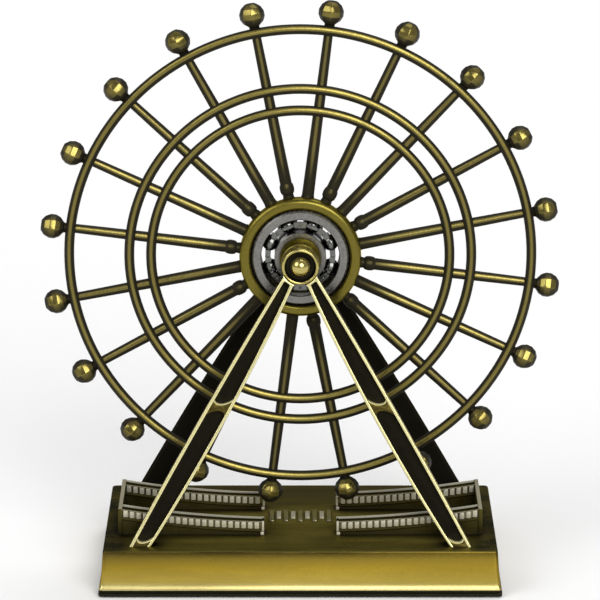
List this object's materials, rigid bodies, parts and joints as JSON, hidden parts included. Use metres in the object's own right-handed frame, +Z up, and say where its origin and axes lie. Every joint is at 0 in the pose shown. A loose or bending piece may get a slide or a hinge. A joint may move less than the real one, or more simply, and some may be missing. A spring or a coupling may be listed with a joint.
{
  "type": "ferris wheel desk toy",
  "caption": "Desk observation wheel that spins on an open ball bearing between front and rear A-frames, on a rectangular plinth with boarding ramps.",
  "frame": {"origin": "middle of the underside, on the surface the toy stands on", "axes": "+Z up, +Y to the rear along the axle, +X to the right as seen from the front"},
  "size_m": [0.1142, 0.0472, 0.1284],
  "materials": {
    "frame_bronze": "antique, worn bright",
    "wheel_bronze": "antique, dark in the hollows",
    "hub_bronze": "antique",
    "axle_bronze": "antique",
    "plinth_bronze": "dark antique",
    "ramp_bronze": "dark antique, worn edges",
    "dark_patina": "near black",
    "bearing_steel": "ground",
    "screw_steel": "plain",
    "felt": "felt"
  },
  "bodies": {
    "stand": {"axle_pin": "frame_bronze", "axle_sleeve": "axle_bronze", "axle_spacers": "axle_bronze", "base_body": "plinth_bronze", "base_plate": "dark_patina", "bearing_inner_race": "bearing_steel", "felt_pad": "felt", "frame_screws": "screw_steel", "front_frame": "frame_bronze", "left_ramp": "ramp_bronze", "rear_frame": "frame_bronze", "right_ramp": "ramp_bronze"},
    "wheel": {"hub": "hub_bronze", "bearing_outer_race": "bearing_steel", "outer_rim": "wheel_bronze", "middle_rim": "wheel_bronze", "inner_rim": "wheel_bronze", "capsule_01": "wheel_bronze", "capsule_02": "wheel_bronze", "capsule_03": "wheel_bronze", "capsule_04": "wheel_bronze", "capsule_05": "wheel_bronze", "capsule_06": "wheel_bronze", "capsule_07": "wheel_bronze", "capsule_08": "wheel_bronze", "capsule_09": "wheel_bronze", "capsule_10": "wheel_bronze", "capsule_11": "wheel_bronze", "capsule_12": "wheel_bronze", "capsule_13": "wheel_bronze", "capsule_14": "wheel_bronze", "capsule_15": "wheel_bronze", "capsule_16": "wheel_bronze", "capsule_17": "wheel_bronze", "capsule_18": "wheel_bronze", "capsule_19": "wheel_bronze", "capsule_20": "wheel_bronze", "spoke_01": "wheel_bronze", "spoke_02": "wheel_bronze", "spoke_03": "wheel_bronze", "spoke_04": "wheel_bronze", "spoke_05": "wheel_bronze", "spoke_06": "wheel_bronze", "spoke_07": "wheel_bronze", "spoke_08": "wheel_bronze", "spoke_09": "wheel_bronze", "spoke_10": "wheel_bronze", "spoke_11": "wheel_bronze", "spoke_12": "wheel_bronze", "spoke_13": "wheel_bronze", "spoke_14": "wheel_bronze", "spoke_15": "wheel_bronze", "spoke_16": "wheel_bronze", "spoke_17": "wheel_bronze", "spoke_18": "wheel_bronze", "spoke_19": "wheel_bronze", "spoke_20": "wheel_bronze"},
    "ball_cage": {"bearing_cage_front": "bearing_steel", "bearing_cage_rear": "bearing_steel", "bearing_balls": "bearing_steel"}
  },
  "joints": [
    {"name": "wheel_spin", "type": "hinge", "parent": "stand", "child": "wheel", "pos_m": [0, 0, 0.0713], "axis": [0, 1, 0], "continuous": true},
    {"name": "ball_cage_spin", "type": "hinge", "parent": "stand", "child": "ball_cage", "pos_m": [0, 0.001, 0.0713], "axis": [0, 1, 0], "continuous": true}
  ],
  "couplings": [
    {"joint": "ball_cage_spin", "follows": "wheel_spin", "ratio": 0.6259}
  ]
}
